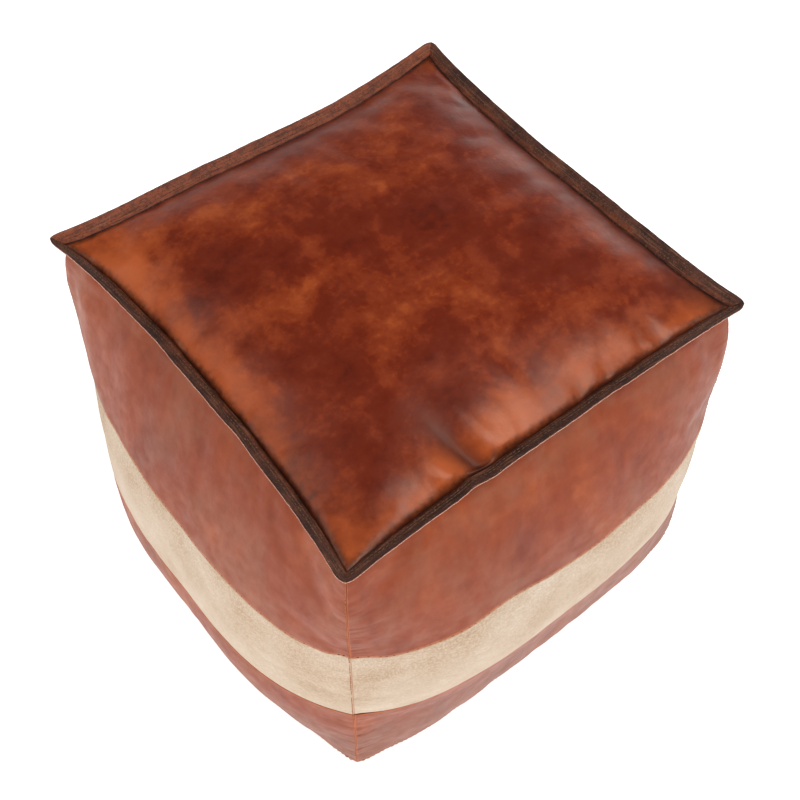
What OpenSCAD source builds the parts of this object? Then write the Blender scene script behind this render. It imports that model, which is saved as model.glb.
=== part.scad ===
// Moroccan leather pouf: a stuffed square footstool. Four leather sides, each
// crossed by a pale stripe, meet a padded top at a rim, where both edges are
// turned out and sewn flat together. The base opens with a zip for the stuffing.
// The origin is the middle of the base, on the floor, with +Z up.

/* [Body] */
// Height of the seam where the sides meet the rim
seam_height = 422; // [390:1:440]
// Width of the body across its bottom corners
base_width = 470; // [440:5:490]
// Width of the square that the rim seam follows
crease_width = 442; // [430:2:450]
// How much narrower the body gets by the top, at its corners
corner_taper = 12; // [0:1:14]
// How far the middle of a side swells past its corners
side_bulge = 49.5; // [20:0.5:55]
// How far the bottom edge of a side swells past its corners
base_bulge = 16.5; // [4:0.5:20]
// Height of the padded top over its own seam
dome_height = 28; // [12:1:40]

/* [Stripe] */
// Height of the stripe's lower seam
stripe_low = 143; // [110:1:170]
// Height of the stripe's upper seam
stripe_high = 266; // [230:1:300]

/* [Leather and thread] */
// Thickness of the leather and of the stripe
leather = 2; // [1.6:0.1:2.2]
// How far the rim stands out from its seam
rim_width = 14; // [13:0.5:18]
// Radius of the rim's corners
rim_corner = 10; // [9:0.5:11]
// Thickness of the sewing thread
thread = 1.2; // [0.8:0.1:1.4]
// Thickness of the cotton bag that holds the stuffing
cotton = 1; // [0.8:0.1:1.2]

/* [Zip] */
// Length of the zip between its stops
zip_length = 360; // [260:10:380]
// Depth of the channel in the base that the zip lies in
recess_depth = 5; // [5:0.1:6]
// Length of the zip's pull
pull_length = 24; // [18:1:25]

/* [Hidden] */
SIDES = ["front", "right", "back", "left"];

crease = crease_width / 2;
tuck = base_width / 2 - corner_taper / 2 - crease;
rim_mid = seam_height + 2 * leather;
rim_reach = crease + rim_width;
side_steps = 12;
squareness = 3.3;
fit_gap = 0.4;
cut = 0.5;
$fn = 48;

// Zip heights, from the floor up, and plan sizes
ledge_top = recess_depth + leather;
tape = 0.6;
tape_top = ledge_top + tape;
coil_low = ledge_top - 1.8;
coil_in = 0.75;
coil_out = 3;
tape_in = 1;
tape_out = 15;
slot_half_width = 7;
slot_half_length = zip_length / 2 + 4;
recess_radius = 18;
recess_half = zip_length / 2 + 2;
wing = 1.2;
wing_gap = 0.3;
slider_half = 5.75;
slider_x = zip_length / 2 - 7;
pivot_z = recess_depth - 2.3;
stop_length = 2;

leather_brown = [0.55, 0.27, 0.17];
top_brown = [0.66, 0.31, 0.15];
stripe_sand = [0.87, 0.79, 0.66];
base_brown = [0.36, 0.2, 0.14];
thread_tan = [0.6, 0.42, 0.26];
thread_grey = [0.45, 0.4, 0.35];
cotton_white = [0.9, 0.88, 0.82];
stuffing_white = [0.8, 0.78, 0.74];
tape_brown = [0.24, 0.15, 0.11];
coil_brown = [0.2, 0.13, 0.1];
metal_brass = [0.72, 0.58, 0.34];

// ---- The shape of the stuffed cover ----

// Height as a share of the seam height
function rise(z) = z / seam_height;

// Half the width between two corners, which draw in under the rim
function corner_half(z) =
    base_width / 2 - corner_taper / 2 * pow(rise(z), 2) - tuck * pow(rise(z), 12);

// How far the middle of a side stands out past its corners
function swell(z) =
    base_bulge * pow(1 - rise(z), 2)
    + side_bulge * pow(sin(180 * pow(rise(z), 0.92)), 0.65);

// Places across a side, from -1 to 1, closer together near the corners
function across(i) = sin(90 * (2 * i / side_steps - 1));

// A point of the front side, moved in towards the middle by inset
function side_point(s, z, inset) =
    let (half = corner_half(z) - inset)
    [s * half, -half - swell(z) * (1 - pow(abs(s), squareness)), z];

// A quarter turn from one side to the next
function turned(p, k) = k == 0 ? p : turned([-p.y, p.x, p.z], k - 1);

function side_row(z, inset) =
    [for (i = [0:side_steps]) side_point(across(i), z, inset)];

function straight_row(half, z) =
    [for (i = [0:side_steps]) [across(i) * half, -half, z]];

// The cut edge of the rim along one side, from the middle of one round corner
// to the middle of the next
function rim_row(z) =
    [
        for (i = [0:side_steps])
            let (
                straight = rim_reach - rim_corner,
                x = across(i) * rim_reach,
                a = 45 * max(0, abs(x) - straight) / rim_corner,
                bend = rim_corner * [sign(x) * sin(a), -cos(a)]
            )
            [min(straight, max(-straight, x)) + bend.x, bend.y - straight, z]
    ];

function all_round(row) =
    [for (k = [0:3]) for (i = [0:side_steps - 1]) turned(row[i], k)];

// The padded top: steep just inside its seam and nearly flat in the middle
function dome(x, y, half) =
    dome_height * pow(
        (1 - pow(min(1, abs(x) / half), 2.6)) * (1 - pow(min(1, abs(y) / half), 2.6)),
        0.75
    );

function dome_ring(share, half, z) =
    [for (p = all_round(straight_row(share * half, z))) p + [0, 0, dome(p.x, p.y, half)]];

function evenly(low, high, count) = [for (i = [0:count]) low + (high - low) * i / count];

// Heights that crowd together towards the top
function crowded(low, high, count) = [for (i = [0:count]) low + (high - low) * sin(90 * i / count)];

lower_rows = evenly(leather, stripe_low, 5);
stripe_rows = evenly(stripe_low, stripe_high, 4);
upper_rows = crowded(stripe_high, seam_height, 7);
dome_shares = [0.975, 0.93, 0.85, 0.72, 0.55, 0.35, 0.15];

// ---- Solids from rows of points ----

function reversed(list) = [for (i = [len(list) - 1:-1:0]) list[i]];

function joined(rows) = [for (row = rows) each row];

function mean(row) = [for (p = row) 1] * row / len(row);

// A closed solid through rows of equal length, cut into triangles along each
// patch's shorter diagonal. Its ends are flat faces, fans round the end rows'
// middle points, or strips between the two faces of a sheet.
module loft(rows, ends = "flat") {
    n = len(rows[0]);
    last = (len(rows) - 1) * n;
    pole = len(rows) * n;
    extra = ends == "fan" ? [mean(rows[0]), mean(rows[len(rows) - 1])] : [];
    wall = [
        for (j = [0:len(rows) - 2]) for (i = [0:n - 1])
            let (
                next = (i + 1) % n,
                a = j * n + i,
                b = j * n + next,
                rising = norm(rows[j][i] - rows[j + 1][next]),
                falling = norm(rows[j][next] - rows[j + 1][i])
            )
            each rising < falling
                ? [[a, a + n, b + n], [a, b + n, b]]
                : [[a, a + n, b], [b, a + n, b + n]]
    ];
    flats = [[for (i = [0:n - 1]) i], [for (i = [n - 1:-1:0]) last + i]];
    fans = [
        for (i = [0:n - 1])
            let (next = (i + 1) % n)
            each [[pole, i, next], [pole + 1, last + next, last + i]]
    ];
    strips = [
        for (i = [0:n / 2 - 2])
            let (far = n - 1 - i)
            each [
                [i, i + 1, far], [i + 1, far - 1, far],
                [last + i, last + far, last + i + 1], [last + i + 1, last + far, last + far - 1]
            ]
    ];
    caps = ends == "fan" ? fans : ends == "strip" ? strips : flats;
    polyhedron(concat(joined(rows), extra), concat(wall, caps), convexity = 8);
}

// A sheet of the side's leather between two heights
function sheet_rows(heights) =
    [for (z = heights) concat(side_row(z, 0), reversed(side_row(z, leather)))];

// The filled shape inside the cover, inset from the leather's outer face
module filled_shape(inset) {
    low = inset;
    high = rim_mid - (inset - leather);
    heights = concat(
        [low],
        [for (i = [1:5]) lower_rows[i]],
        [for (i = [1:4]) stripe_rows[i]],
        [for (i = [1:7]) upper_rows[i]]
    );
    loft(
        concat(
            [for (z = heights) all_round(side_row(z, inset))],
            [dome_ring(1, crease - inset, high)],
            [for (share = dome_shares) dome_ring(share, crease - inset, high)]
        ),
        "fan"
    );
}

// A thread that follows a path and lies beside a surface. Up is a direction
// that is never along the path.
function unit(v) = v / norm(v);

function thread_ring(path, i, up, closed) =
    let (
        n = len(path),
        before = closed ? path[(i + n - 1) % n] : path[max(0, i - 1)],
        after = closed ? path[(i + 1) % n] : path[min(n - 1, i + 1)],
        along = unit(after - before),
        side = unit(cross(along, up)),
        top = cross(side, along)
    )
    [for (a = [0:72:288]) path[i] + thread / 2 * (cos(a) * side + sin(a) * top)];

module sewn_line(path, up) {
    loft([for (i = [0:len(path) - 1]) thread_ring(path, i, up, false)]);
}

module sewn_loop(path) {
    n = 5;
    count = len(path);
    points = [for (i = [0:count - 1]) each thread_ring(path, i, [0, 0, 1], true)];
    faces = [
        for (j = [0:count - 1]) for (i = [0:n - 1])
            let (
                a = j * n + i,
                b = j * n + (i + 1) % n,
                c = ((j + 1) % count) * n + i,
                d = ((j + 1) % count) * n + (i + 1) % n
            )
            each [[a, c, d], [a, d, b]]
    ];
    polyhedron(points, faces, convexity = 8);
}

module on_side(k) {
    rotate([0, 0, 90 * k]) children();
}

module rounded_square(half, radius) {
    inner = half - radius;
    square([2 * half, 2 * inner], center = true);
    square([2 * inner, 2 * half], center = true);
    for (x = [-inner, inner]) for (y = [-inner, inner])
        translate([x, y]) circle(radius);
}

// ---- Cover ----

module top_panel() {
    under = reversed([for (share = dome_shares) dome_ring(share, crease - leather, rim_mid)]);
    over = [for (share = dome_shares) dome_ring(share, crease, rim_mid + leather)];
    color(top_brown) loft(
        concat(
            under,
            [all_round(straight_row(crease - leather, rim_mid))],
            [all_round(rim_row(rim_mid))],
            [all_round(rim_row(rim_mid + leather))],
            [all_round(straight_row(crease, rim_mid + leather))],
            over
        ),
        "fan"
    );
}

// Leather side above the stripe, with its top edge turned out into the rim
module upper_band() {
    low = rim_mid - leather;
    turn_row = concat(straight_row(crease + 1, low), reversed(straight_row(crease - leather, rim_mid)));
    end_row = concat(rim_row(low), reversed(rim_row(rim_mid)));
    color(leather_brown) loft(concat(sheet_rows(upper_rows), [turn_row, end_row]), "strip");
}

module stripe() {
    color(stripe_sand) loft(sheet_rows(stripe_rows), "strip");
}

module lower_band() {
    color(leather_brown) loft(sheet_rows(lower_rows), "strip");
}

// A row of stitches round the rim, seen on its top and on its underside
module rim_thread(half, corner) {
    for (z = [rim_mid + leather, rim_mid - leather - thread / 2])
        translate([0, 0, z]) linear_extrude(thread / 2) difference() {
            rounded_square(half + thread / 2, corner + thread / 2);
            rounded_square(half - thread / 2, corner - thread / 2);
        }
}

module rim_outer_thread() {
    margin = 5;
    color(thread_grey) rim_thread(rim_reach - margin, rim_corner - margin);
}

module rim_inner_thread() {
    color(thread_grey) rim_thread(crease + 3.5, 2);
}

module corner_seam_threads() {
    stand_off = thread / 2 + 0.1;
    heights = concat(
        [for (i = [1:5]) lower_rows[i] - (i == 1 ? 18 : 0)],
        [for (i = [1:4]) stripe_rows[i]],
        [for (i = [1:5]) upper_rows[i]]
    );
    color(thread_tan) for (k = [0:3]) on_side(k)
        sewn_line([for (z = heights) side_point(1, z, -stand_off * 0.71)], [1, -1, 0]);
}

module side_thread(z) {
    color(thread_tan) sewn_loop(all_round(side_row(z, -thread / 2 - 0.3)));
}

module stripe_upper_thread() {
    side_thread(stripe_high);
}

module stripe_lower_thread() {
    side_thread(stripe_low);
}

module base_seam_thread() {
    side_thread(leather + 2);
}

// ---- Base ----

module stadium(half_length, radius) {
    square([2 * half_length, 2 * radius], center = true);
    for (x = [-half_length, half_length]) translate([x, 0]) circle(radius);
}

// The whole base: a flat sheet with a channel drawn up along the zip
module base_sheet() {
    linear_extrude(leather) difference() {
        polygon([for (p = all_round(side_row(leather, 0))) [p.x, p.y]]);
        stadium(recess_half, recess_radius);
    }
    linear_extrude(recess_depth) difference() {
        stadium(recess_half, recess_radius + leather);
        stadium(recess_half, recess_radius);
    }
    translate([0, 0, recess_depth]) linear_extrude(leather) difference() {
        stadium(recess_half, recess_radius + leather);
        square([2 * slot_half_length, 2 * slot_half_width], center = true);
    }
}

module base_panel() {
    color(base_brown) intersection() {
        base_sheet();
        translate([-base_width, -2 * base_width, -cut])
            cube([2 * base_width, 2 * base_width, 2 * ledge_top]);
    }
}

// ---- Bag and stuffing ----

// Room over the zip's channel
module zip_bay(clear) {
    translate([0, 0, -cut])
        linear_extrude(tape_top + wing + wing_gap + cut + clear)
            stadium(recess_half, recess_radius + leather + clear);
}

module bag_shape(inset, clear) {
    difference() {
        filled_shape(inset);
        zip_bay(clear);
    }
}

module inner_bag() {
    color(cotton_white) difference() {
        bag_shape(leather + fit_gap, fit_gap);
        bag_shape(leather + fit_gap + cotton, fit_gap + cotton);
    }
}

module stuffing() {
    inset = leather + 2 * fit_gap + cotton;
    color(stuffing_white) bag_shape(inset, inset - leather);
}

// ---- Zip ----

module zip_tape() {
    color(tape_brown) translate([-slot_half_length - 6, -tape_out, ledge_top])
        cube([2 * slot_half_length + 12, tape_out - tape_in, tape]);
}

// One row of the coil, as a bar with round edges
module zip_coil() {
    radius = 0.7;
    color(coil_brown) rotate([90, 0, 90]) translate([0, 0, -zip_length / 2])
        linear_extrude(zip_length) {
            translate([-coil_out + radius, coil_low])
                square([coil_out - coil_in - 2 * radius, ledge_top - coil_low]);
            translate([-coil_out, coil_low + radius])
                square([coil_out - coil_in, ledge_top - coil_low - radius]);
            for (y = [-coil_out + radius, -coil_in - radius])
                translate([y, coil_low + radius]) circle(radius);
        }
}

// A clamp round the tapes' edges, between two distances from the zip's middle
module zip_clamp(inner, x) {
    difference() {
        translate([x, inner, coil_low - 0.3])
            cube([stop_length, coil_out + 0.4 - inner, tape_top + 0.9 - coil_low]);
        translate([x - cut, tape_in, ledge_top]) cube([stop_length + 2 * cut, tape_out, tape]);
    }
}

module zip_top_stops() {
    color(metal_brass) for (k = [0, 1]) mirror([0, k, 0]) zip_clamp(0.4, zip_length / 2);
}

module zip_bottom_stop() {
    color(metal_brass) for (k = [0, 1]) mirror([0, k, 0])
        zip_clamp(0, -zip_length / 2 - stop_length);
}

// Two rows of stitches that hold the tapes to the base
module zip_stitching() {
    row_y = slot_half_width + 2.5;
    color(thread_grey) for (y = [-row_y, row_y])
        translate([-slot_half_length - 3, y - thread / 2, recess_depth - thread / 2])
            cube([2 * slot_half_length + 6, thread, thread / 2]);
}

// Slider plate: wide in front, where the two rows come in, and narrow behind
module slider_plate() {
    linear_extrude(wing) {
        polygon([[-slider_half, -3.2], [slider_half - 2, -4.6], [slider_half - 2, 4.6], [-slider_half, 3.2]]);
        for (y = [-2.6, 2.6]) translate([slider_half - 2, y]) circle(2);
        translate([slider_half - 2.5, -2.6]) square([2.5, 5.2]);
    }
}

module zip_slider() {
    plate_low = coil_low - wing_gap - wing;
    plate_high = tape_top + wing_gap;
    bridge = 1;
    bridge_low = pivot_z - 1.8;
    color(metal_brass) translate([slider_x, 0, 0]) {
        translate([0, 0, plate_low]) slider_plate();
        translate([0, 0, plate_high]) slider_plate();
        translate([1.8, -0.45, plate_low]) cube([3, 0.9, plate_high - plate_low + wing]);
        for (k = [0, 1]) mirror([0, k, 0])
            translate([-3.5, 3.5, plate_low]) cube([7.5, 0.9, ledge_top - 0.4 - plate_low]);
        for (x = [-3.6, 2.6]) translate([x, -1.2, bridge_low])
            cube([bridge, 2.4, plate_low - bridge_low + 0.2]);
        translate([-3.6, -1.2, bridge_low]) cube([7.2, 2.4, 0.8]);
    }
}

// Pull: a flat tab with a window, and a round bar held under the slider's bridge
module zip_pull() {
    bar = 0.6;
    half_width = 3.8;
    window = 1.9;
    tab_start = 5;
    color(metal_brass) translate([slider_x, 0, pivot_z]) {
        rotate([90, 0, 0]) cylinder(h = 2 * half_width, r = bar, center = true);
        translate([0, 0, -bar]) linear_extrude(2 * bar) difference() {
            union() {
                translate([-pull_length + half_width, -half_width])
                    square([pull_length - half_width, 2 * half_width]);
                translate([-pull_length + half_width, 0]) circle(half_width);
            }
            translate([-tab_start, -window]) square([tab_start + 1, 2 * window]);
            translate([-pull_length + half_width, 0]) circle(1.6);
        }
    }
}

top_panel();
for (k = [0:3]) {
    on_side(k) upper_band();
    on_side(k) stripe();
    on_side(k) lower_band();
}
for (k = [0, 2]) {
    on_side(k) base_panel();
    on_side(k) zip_tape();
    on_side(k) zip_coil();
}
corner_seam_threads();
stripe_upper_thread();
stripe_lower_thread();
base_seam_thread();
rim_outer_thread();
rim_inner_thread();
inner_bag();
stuffing();
zip_top_stops();
zip_bottom_stop();
zip_stitching();
zip_slider();
zip_pull();
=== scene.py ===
import math

import bpy
import numpy as np
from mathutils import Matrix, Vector


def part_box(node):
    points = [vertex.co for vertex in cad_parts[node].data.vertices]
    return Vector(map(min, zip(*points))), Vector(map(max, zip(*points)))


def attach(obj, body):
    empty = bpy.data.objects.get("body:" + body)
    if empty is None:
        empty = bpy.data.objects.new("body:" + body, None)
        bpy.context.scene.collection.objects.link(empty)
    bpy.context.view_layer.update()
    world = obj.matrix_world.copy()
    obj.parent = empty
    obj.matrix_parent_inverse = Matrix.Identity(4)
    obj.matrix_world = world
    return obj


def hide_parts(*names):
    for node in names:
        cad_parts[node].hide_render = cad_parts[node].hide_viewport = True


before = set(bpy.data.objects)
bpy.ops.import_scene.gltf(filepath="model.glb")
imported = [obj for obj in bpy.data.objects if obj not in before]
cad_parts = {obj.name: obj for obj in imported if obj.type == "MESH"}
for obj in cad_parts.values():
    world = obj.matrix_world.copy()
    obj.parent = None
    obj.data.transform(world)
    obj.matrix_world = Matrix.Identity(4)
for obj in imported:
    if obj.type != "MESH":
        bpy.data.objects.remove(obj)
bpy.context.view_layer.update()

# Everything below is worked out in millimetres and turned into metres by MM.
MM = 0.001
DIAGONAL = 0.7071
SIDES = ("front", "right", "back", "left")
FRONT, RIGHT, BACK, LEFT = range(4)

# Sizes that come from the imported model
STRIPE_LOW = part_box("stripe_front")[0].z / MM
STRIPE_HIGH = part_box("stripe_front")[1].z / MM
RIM_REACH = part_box("top_panel")[1].x / MM
BASE_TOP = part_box("lower_band_front")[0].z / MM
TOP_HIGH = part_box("top_panel")[1].z / MM

# The cover's shape, as in the CAD model: its leather, the height of the rim seam, the rim,
# half the width of its foot at the corners, and how square its sides are in plan
LEATHER = 2.0
SEAM = 422.0
RIM_WIDTH = 14.0
RIM_CORNER = 15.0
CREASE = RIM_REACH - RIM_WIDTH
RIM_MID = SEAM + 2 * LEATHER
CORNER = 235.0
DOME = TOP_HIGH - RIM_MID - LEATHER
SQUARENESS = 3.3

# The zip's slot and the channel that it lies in
SLOT_HALF_WIDTH = 7.0
RECESS_RADIUS = 18.0
RECESS = 5.0
RECESS_WALL = 2.6

# Stitch rows of the rim, out from its seam
ROWS = (7.7, 4.5)

# How each side, in the order of SIDES, differs from an even one: its belly at the lower
# band, its foot, and how far the corner at its left is drawn out at the rim and lower down
BELLY = (-17.0, 0.0, 1.0, 9.0)
FOOT = (1.5, 1.0, -1.0, 4.5)
EAR = (5.0, 3.5, 1.5, 8.0)
LOW_EAR = (0.0, -6.0, 0.0, 0.0)

# Panel edges roll in to their seams by this much, over this distance
ROLL_DEPTH = 1.0
ROLL_RADIUS = 2.4


# ---- camera and light

def camera():
    data = bpy.data.cameras.new("camera")
    data.sensor_width = 36
    data.lens = 59.05
    data.clip_end = 20
    thing = bpy.data.objects.new("camera", data)
    bpy.context.scene.collection.objects.link(thing)
    azimuth, elevation = math.radians(-38.09), math.radians(55.36)
    distance = 1.462
    target = Vector((0.0146, 0.0094, 0.193))
    back = Vector((
        math.sin(azimuth) * math.cos(elevation),
        -math.cos(azimuth) * math.cos(elevation),
        math.sin(elevation),
    ))
    thing.location = target + back * distance
    thing.rotation_euler = back.to_track_quat("Z", "Y").to_euler()
    bpy.context.scene.camera = thing


def area_light(name, place, aim, size, watts):
    data = bpy.data.lights.new(name, "AREA")
    data.shape = "RECTANGLE"
    data.size, data.size_y = size
    data.energy = watts
    thing = bpy.data.objects.new(name, data)
    bpy.context.scene.collection.objects.link(thing)
    thing.location = place
    thing.rotation_euler = (Vector(place) - Vector(aim)).to_track_quat("Z", "Y").to_euler()


def studio():
    """A pale floor under four soft lights. The world is bright at the horizon and dim above."""
    scene = bpy.context.scene
    scene.view_settings.view_transform = "Standard"
    scene.view_settings.look = "None"
    world = bpy.data.worlds.new("studio")
    world.use_nodes = True
    tree = world.node_tree
    tree.nodes["Background"].inputs["Color"].default_value = (1, 0.95, 0.9, 1)
    direction = tree.nodes.new("ShaderNodeTexCoord").outputs["Generated"]
    parts = tree.nodes.new("ShaderNodeSeparateXYZ")
    tree.links.new(direction, parts.inputs[0])
    fall = tree.nodes.new("ShaderNodeMapRange")
    fall.interpolation_type = "SMOOTHSTEP"
    for socket, value in zip(fall.inputs, (parts.outputs["Z"], 0.06, 0.5, 1.0, 0.12)):
        if isinstance(value, float):
            socket.default_value = value
        else:
            tree.links.new(value, socket)
    tree.links.new(fall.outputs[0], tree.nodes["Background"].inputs["Strength"])
    scene.world = world
    area_light("key", (0.62, -0.72, 2.1), (0, 0, 0.4), (1.0, 1.0), 20)
    area_light("fill", (-0.95, 0.75, 1.9), (0, 0, 0.4), (1.1, 1.1), 7)
    area_light("front", (-2.4, -1.2, 1.0), (0, 0, 0.2), (1.8, 1.2), 15)
    area_light("rim", (2.6, 1.4, 1.0), (0, 0, 0.4), (1.6, 0.9), 8)

    bpy.ops.mesh.primitive_plane_add(size=30, location=(0, 0, 0))
    floor = bpy.context.object
    floor.name = "floor"
    paint = Paint("floor_paint")
    grey, white = (0.85, 0.85, 0.85), (1, 1, 1)
    floor.data.materials.append(paint.look(
        Base_Color=grey, Roughness=0.9, Emission_Color=white, Emission_Strength=0.8,
    ))


# ---- materials

# A wave texture's scale, times its step in millimetres
WAVES_TO_MM = 1000 / 20


class Paint:
    """A node material: each method adds a node and gives back its output."""

    def __init__(self, name):
        self.material = bpy.data.materials.new(name)
        self.material.use_nodes = True
        self.tree = self.material.node_tree
        self.shader = self.tree.nodes["Principled BSDF"]
        self.place = self.tree.nodes.new("ShaderNodeTexCoord").outputs["Object"]

    def put(self, socket, value):
        if isinstance(value, bpy.types.NodeSocket):
            self.tree.links.new(value, socket)
        elif isinstance(value, tuple) and len(value) == 3 and socket.type == "RGBA":
            socket.default_value = (*value, 1)
        else:
            socket.default_value = value

    def look(self, **inputs):
        """Set the shader's inputs, with _ for each space in a name, and give the material."""
        for name, value in inputs.items():
            self.put(self.shader.inputs[name.replace("_", " ")], value)
        return self.material

    def node(self, kind, out=0, **inputs):
        made = self.tree.nodes.new("ShaderNode" + kind)
        for key, value in inputs.items():
            if hasattr(made, key) and key not in made.inputs:
                setattr(made, key, value)
            else:
                self.put(made.inputs[key], value)
        return made.outputs[out]

    def height(self):
        """Metres over the floor."""
        return self.node("SeparateXYZ", "Z", Vector=self.place)

    def attribute(self, name):
        return self.node("Attribute", "Fac", attribute_name=name)

    def stretch(self, scale, place=None):
        made = self.tree.nodes.new("ShaderNodeMapping")
        self.put(made.inputs["Vector"], place or self.place)
        made.inputs["Scale"].default_value = scale
        return made.outputs[0]

    def noise(self, size_mm, detail=3.0, rough=0.55, twist=0.0, place=None):
        return self.node(
            "TexNoise", "Fac", Vector=place or self.place, Scale=1000 / size_mm,
            Detail=detail, Roughness=rough, Distortion=twist,
        )

    def cells(self, size_mm):
        return self.node("TexVoronoi", "Distance", Vector=self.place, Scale=1000 / size_mm)

    def math(self, operation, a, b):
        made = self.tree.nodes.new("ShaderNodeMath")
        made.operation = operation
        self.put(made.inputs[0], a)
        self.put(made.inputs[1], b)
        return made.outputs[0]

    def blend(self, *parts):
        """The sum of values, each times its share."""
        total = None
        for value, share in parts:
            part = self.math("MULTIPLY", value, share)
            total = part if total is None else self.math("ADD", total, part)
        return total

    def ragged(self, value, noise, reach):
        """A value moved up and down by a noise, by half its reach each way."""
        return self.math("ADD", value, self.math("MULTIPLY", self.math("SUBTRACT", noise, 0.5), reach))

    def span(self, value, low, high, start=0.0, end=1.0):
        """Goes smoothly from start to end while a value goes from low to high."""
        made = self.tree.nodes.new("ShaderNodeMapRange")
        made.interpolation_type = "SMOOTHSTEP"
        for socket, number in zip(made.inputs, (value, low, high, start, end)):
            self.put(socket, number)
        return made.outputs[0]

    def mix(self, share, a, b):
        """Two colours mixed. A Mix node's colour sockets have no names of their own."""
        made = self.tree.nodes.new("ShaderNodeMix")
        made.data_type = "RGBA"
        self.put(made.inputs["Factor"], share)
        self.put(made.inputs[6], a)
        self.put(made.inputs[7], b)
        return made.outputs[2]

    def ramp(self, value, *stops):
        made = self.tree.nodes.new("ShaderNodeValToRGB")
        self.put(made.inputs[0], value)
        made.color_ramp.interpolation = "EASE"
        while len(made.color_ramp.elements) < len(stops):
            made.color_ramp.elements.new(0.5)
        for element, (place, colour) in zip(made.color_ramp.elements, stops):
            element.position = place
            element.color = (*colour, 1)
        return made.outputs[0]

    def bump(self, height, depth_mm, strength=1.0, under=None):
        made = self.tree.nodes.new("ShaderNodeBump")
        made.inputs["Strength"].default_value = strength
        made.inputs["Distance"].default_value = depth_mm * MM
        self.put(made.inputs["Height"], height)
        if under:
            self.put(made.inputs["Normal"], under)
        return made.outputs[0]


def tint(red, green, blue):
    """A colour given as a screen shows it, as linear light."""
    return tuple(
        (c / 255 / 12.92) if c < 11 else ((c / 255 + 0.055) / 1.055) ** 2.4
        for c in (red, green, blue)
    )


def pores(paint, grain=1.0):
    """Fine leather grain: pores between small pebbles, and soft creases."""
    pebbles = paint.cells(1.1)
    creases = paint.noise(3.0, 5, 0.6)
    soft = paint.noise(26, 3, 0.5)
    first = paint.bump(soft, 1.6, 0.5)
    second = paint.bump(creases, 0.12 * grain, 0.7, first)
    return paint.bump(pebbles, 0.07 * grain, 0.5, second)


def top_leather():
    """Waxed and mottled: worn bright near its edges, with painted highlights there too, painted shade in its
    folds and by its right and back edges, and burnished with painted shade at the seam.
    """
    paint = Paint("waxed_leather")
    edge = paint.attribute("edge")
    wide = paint.noise(95, 4, 0.6, 0.3)
    small = paint.noise(24, 6, 0.62, 0.15)
    fine = paint.noise(7, 5, 0.65)
    shade = paint.attribute("shade")
    clouds = paint.blend((wide, 0.58), (small, 0.3), (fine, 0.12))
    colour = paint.ramp(
        clouds,
        (0.33, tint(94, 29, 16)),
        (0.45, tint(116, 37, 17)),
        (0.55, tint(136, 49, 21)),
        (0.67, tint(164, 72, 30)),
    )
    how_many = paint.span(wide, 0.42, 0.62, 0.05, 0.3)
    specks = paint.math("MULTIPLY", paint.span(fine, 0.54, 0.68), how_many)
    colour = paint.mix(specks, colour, tint(180, 82, 34))
    # Wear with painted highlight: lighter along the left and front edges and on the front fold's ridges
    wear_and_highlight = paint.ragged(paint.attribute("wear_and_highlight"), clouds, 2.2)
    colour = paint.mix(paint.span(wear_and_highlight, -0.05, 1.0, 0.0, 0.85), colour, tint(200, 96, 46))
    # Painted shade in the deep folds and by the right and back edges
    colour = paint.mix(shade, colour, tint(70, 20, 10))
    # Burnish at the seam, with painted crease shade
    burnish_and_shade = paint.span(paint.ragged(edge, paint.noise(6, 4), 9), -1, 9, 0.9, 0.0)
    colour = paint.mix(burnish_and_shade, colour, tint(58, 24, 14))
    return paint.look(
        Base_Color=colour,
        Roughness=paint.blend((paint.span(small, 0.3, 0.7, 0.28, 0.44), 1.0), (shade, 0.4)),
        Specular_IOR_Level=0.36, Specular_Tint=(1.0, 0.74, 0.58), Coat_Weight=0.06,
        Coat_Roughness=0.2, Normal=pores(paint),
    )


def rim_leather():
    """The top's turned-out edge: burnished, dry and scuffed, and darkest at its cut, with painted shade on
    its near sides and along its seam with the top.
    """
    paint = Paint("burnished_rim")
    edge = paint.attribute("edge")
    grain = paint.noise(2.4, 5, 0.75)
    patch = paint.noise(22, 4, 0.6)
    # Scuffs that run along the rim: fast across it and slow along it
    slow = paint.stretch((30, 30, 30))
    slow_x = paint.node("SeparateXYZ", "X", Vector=slow)
    slow_y = paint.node("SeparateXYZ", "Y", Vector=slow)
    across = paint.math("MULTIPLY", edge, 0.7)
    lines = paint.noise(1000, 3, 0.6, 0.0, paint.node("CombineXYZ", X=across, Y=slow_x, Z=slow_y))
    inner = paint.ramp(patch, (0.36, tint(76, 34, 18)), (0.5, tint(112, 52, 27)), (0.66, tint(148, 72, 38)))
    outer = paint.ramp(patch, (0.36, tint(58, 33, 24)), (0.5, tint(88, 50, 36)), (0.66, tint(116, 68, 50)))
    colour = paint.mix(paint.span(edge, -7.5, -4.5), outer, inner)
    patchy = paint.span(paint.noise(7, 5, 0.7), 0.36, 0.6, 0.5, 1.5)
    rubbed = paint.math("MULTIPLY", paint.attribute("wear_and_highlight"), patchy)
    colour = paint.mix(rubbed, colour, tint(158, 80, 50))
    # Painted shade, darkest on the rim's near sides
    colour = paint.mix(paint.attribute("shade"), colour, tint(46, 20, 12))
    colour = paint.mix(paint.span(edge, -13.4, -12.6, 0.5, 0), colour, tint(30, 16, 10))
    # Painted crease shade where the rim leaves the top
    colour = paint.mix(paint.span(edge, -1.8, -0.2), colour, tint(38, 16, 10))
    colour = paint.mix(paint.span(lines, 0.46, 0.34, 0.0, 0.55), colour, tint(44, 22, 14))
    colour = paint.mix(paint.span(lines, 0.56, 0.68, 0.0, 0.45), colour, tint(168, 112, 82))
    colour = paint.mix(paint.span(grain, 0.56, 0.7, 0.0, 0.7), colour, tint(158, 112, 88))
    colour = paint.mix(paint.span(grain, 0.46, 0.34, 0.0, 0.6), colour, tint(30, 15, 10))
    return paint.look(
        Base_Color=colour, Roughness=0.6, Specular_IOR_Level=0.35,
        Normal=paint.bump(grain, 0.5, 0.8, paint.bump(lines, 0.7, 0.7)),
    )


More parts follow.
